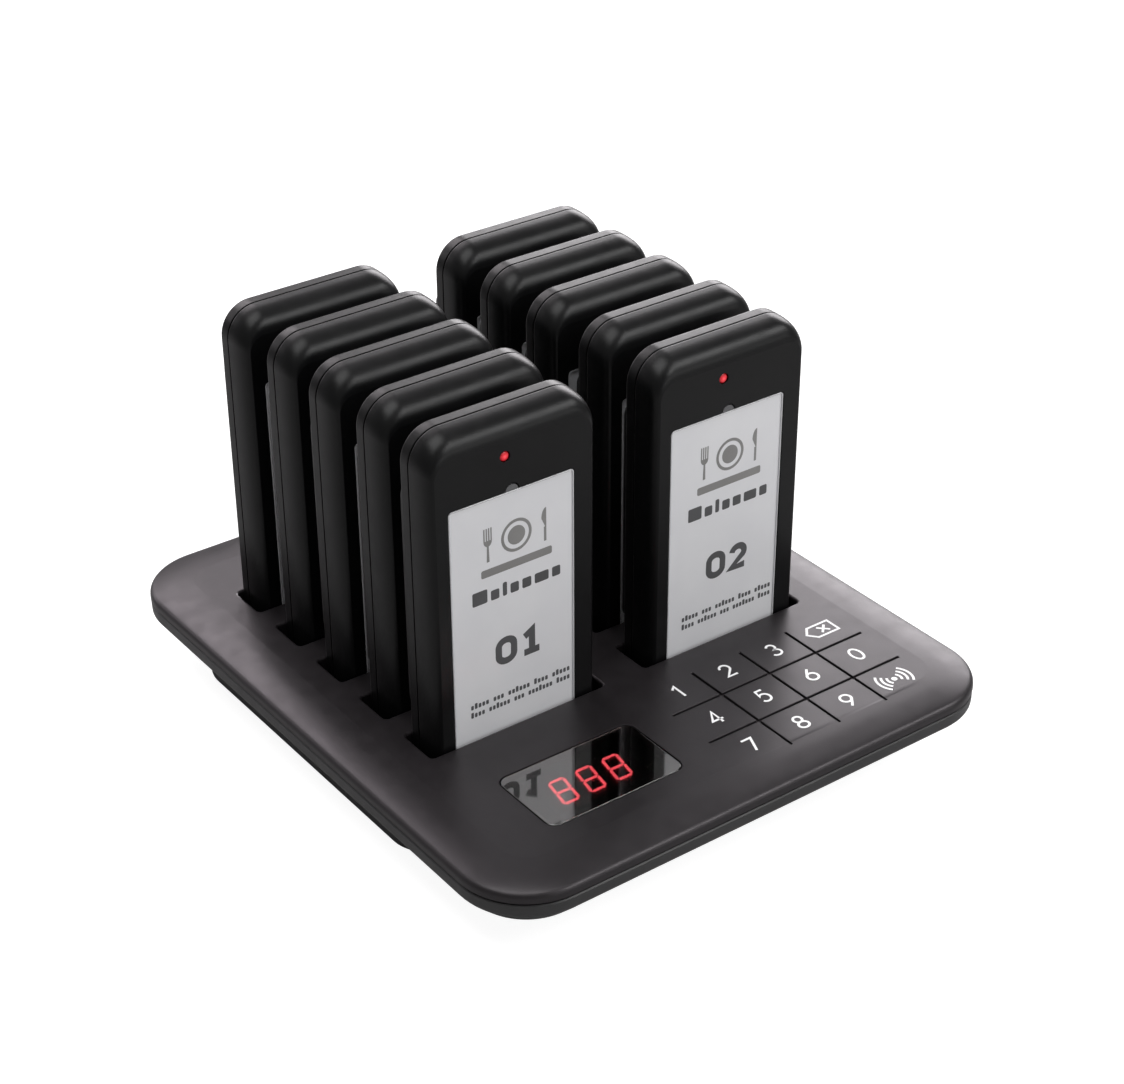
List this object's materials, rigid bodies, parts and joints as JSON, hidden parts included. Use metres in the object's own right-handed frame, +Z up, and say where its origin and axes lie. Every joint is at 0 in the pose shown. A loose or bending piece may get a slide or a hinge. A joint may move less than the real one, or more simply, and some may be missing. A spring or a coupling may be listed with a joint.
{
  "type": "restaurant pager set",
  "caption": "Coaster pagers standing upright in the slots of a flat charging base with a touch keypad and a digit display; each pager lifts straight out.",
  "frame": {"origin": "on the surface the feet stand on, under the middle of the base", "axes": "+X to the user's right along the keypad edge, +Y from the keypad edge to the back, +Z up"},
  "size_m": [0.1656, 0.1924, 0.1137],
  "materials": {
    "shell_black": "fine satin texture",
    "lower_shell_grey": "fine satin texture",
    "window_gloss": "polished, smoked",
    "module_black": "moulded",
    "board_green": "solder mask",
    "antenna_copper": "bare wire coil",
    "inlet_black": "moulded",
    "switch_black": "moulded",
    "foot_rubber": "matt",
    "screw_steel": "zinc plated",
    "pager_black": "fine satin texture",
    "label_white": "printed card under a clear cover",
    "core_green": "board with battery, shaker and lamp"
  },
  "bodies": {
    "base": {"top_shell": "shell_black", "bottom_shell": "lower_shell_grey", "display_window": "window_gloss", "display_module": "module_black", "main_board": "board_green", "touch_board": "board_green", "charge_board_left": "board_green", "charge_board_right": "board_green", "antenna": "antenna_copper", "power_jack": "inlet_black", "foot_1": "foot_rubber", "foot_2": "foot_rubber", "foot_3": "foot_rubber", "foot_4": "foot_rubber", "screw_1": "screw_steel", "screw_2": "screw_steel", "screw_3": "screw_steel", "screw_4": "screw_steel"},
    "switch": {"power_switch": "switch_black"},
    "pager_01": {"front_shell_01": "pager_black", "rear_shell_01": "pager_black", "label_card_01": "label_white", "core_01": "core_green"},
    "pager_02": {"front_shell_02": "pager_black", "rear_shell_02": "pager_black", "label_card_02": "label_white", "core_02": "core_green"},
    "pager_03": {"front_shell_03": "pager_black", "rear_shell_03": "pager_black", "label_card_03": "label_white", "core_03": "core_green"},
    "pager_04": {"front_shell_04": "pager_black", "rear_shell_04": "pager_black", "label_card_04": "label_white", "core_04": "core_green"},
    "pager_05": {"front_shell_05": "pager_black", "rear_shell_05": "pager_black", "label_card_05": "label_white", "core_05": "core_green"},
    "pager_06": {"front_shell_06": "pager_black", "rear_shell_06": "pager_black", "label_card_06": "label_white", "core_06": "core_green"},
    "pager_07": {"front_shell_07": "pager_black", "rear_shell_07": "pager_black", "label_card_07": "label_white", "core_07": "core_green"},
    "pager_08": {"front_shell_08": "pager_black", "rear_shell_08": "pager_black", "label_card_08": "label_white", "core_08": "core_green"},
    "pager_09": {"front_shell_09": "pager_black", "rear_shell_09": "pager_black", "label_card_09": "label_white", "core_09": "core_green"},
    "pager_10": {"front_shell_10": "pager_black", "rear_shell_10": "pager_black", "label_card_10": "label_white", "core_10": "core_green"}
  },
  "joints": [
    {"name": "switch_slide", "type": "slide", "parent": "base", "child": "switch", "axis": [1, 0, 0], "range_m": [0, 0.003]},
    {"name": "pager_lift_01", "type": "slide", "parent": "base", "child": "pager_01", "axis": [0, 0, 1], "range_m": [0, 0.04]},
    {"name": "pager_lift_02", "type": "slide", "parent": "base", "child": "pager_02", "axis": [0, 0, 1], "range_m": [0, 0.04]},
    {"name": "pager_lift_03", "type": "slide", "parent": "base", "child": "pager_03", "axis": [0, 0, 1], "range_m": [0, 0.04]},
    {"name": "pager_lift_04", "type": "slide", "parent": "base", "child": "pager_04", "axis": [0, 0, 1], "range_m": [0, 0.04]},
    {"name": "pager_lift_05", "type": "slide", "parent": "base", "child": "pager_05", "axis": [0, 0, 1], "range_m": [0, 0.04]},
    {"name": "pager_lift_06", "type": "slide", "parent": "base", "child": "pager_06", "axis": [0, 0, 1], "range_m": [0, 0.04]},
    {"name": "pager_lift_07", "type": "slide", "parent": "base", "child": "pager_07", "axis": [0, 0, 1], "range_m": [0, 0.04]},
    {"name": "pager_lift_08", "type": "slide", "parent": "base", "child": "pager_08", "axis": [0, 0, 1], "range_m": [0, 0.04]},
    {"name": "pager_lift_09", "type": "slide", "parent": "base", "child": "pager_09", "axis": [0, 0, 1], "range_m": [0, 0.04]},
    {"name": "pager_lift_10", "type": "slide", "parent": "base", "child": "pager_10", "axis": [0, 0, 1], "range_m": [0, 0.04]}
  ]
}
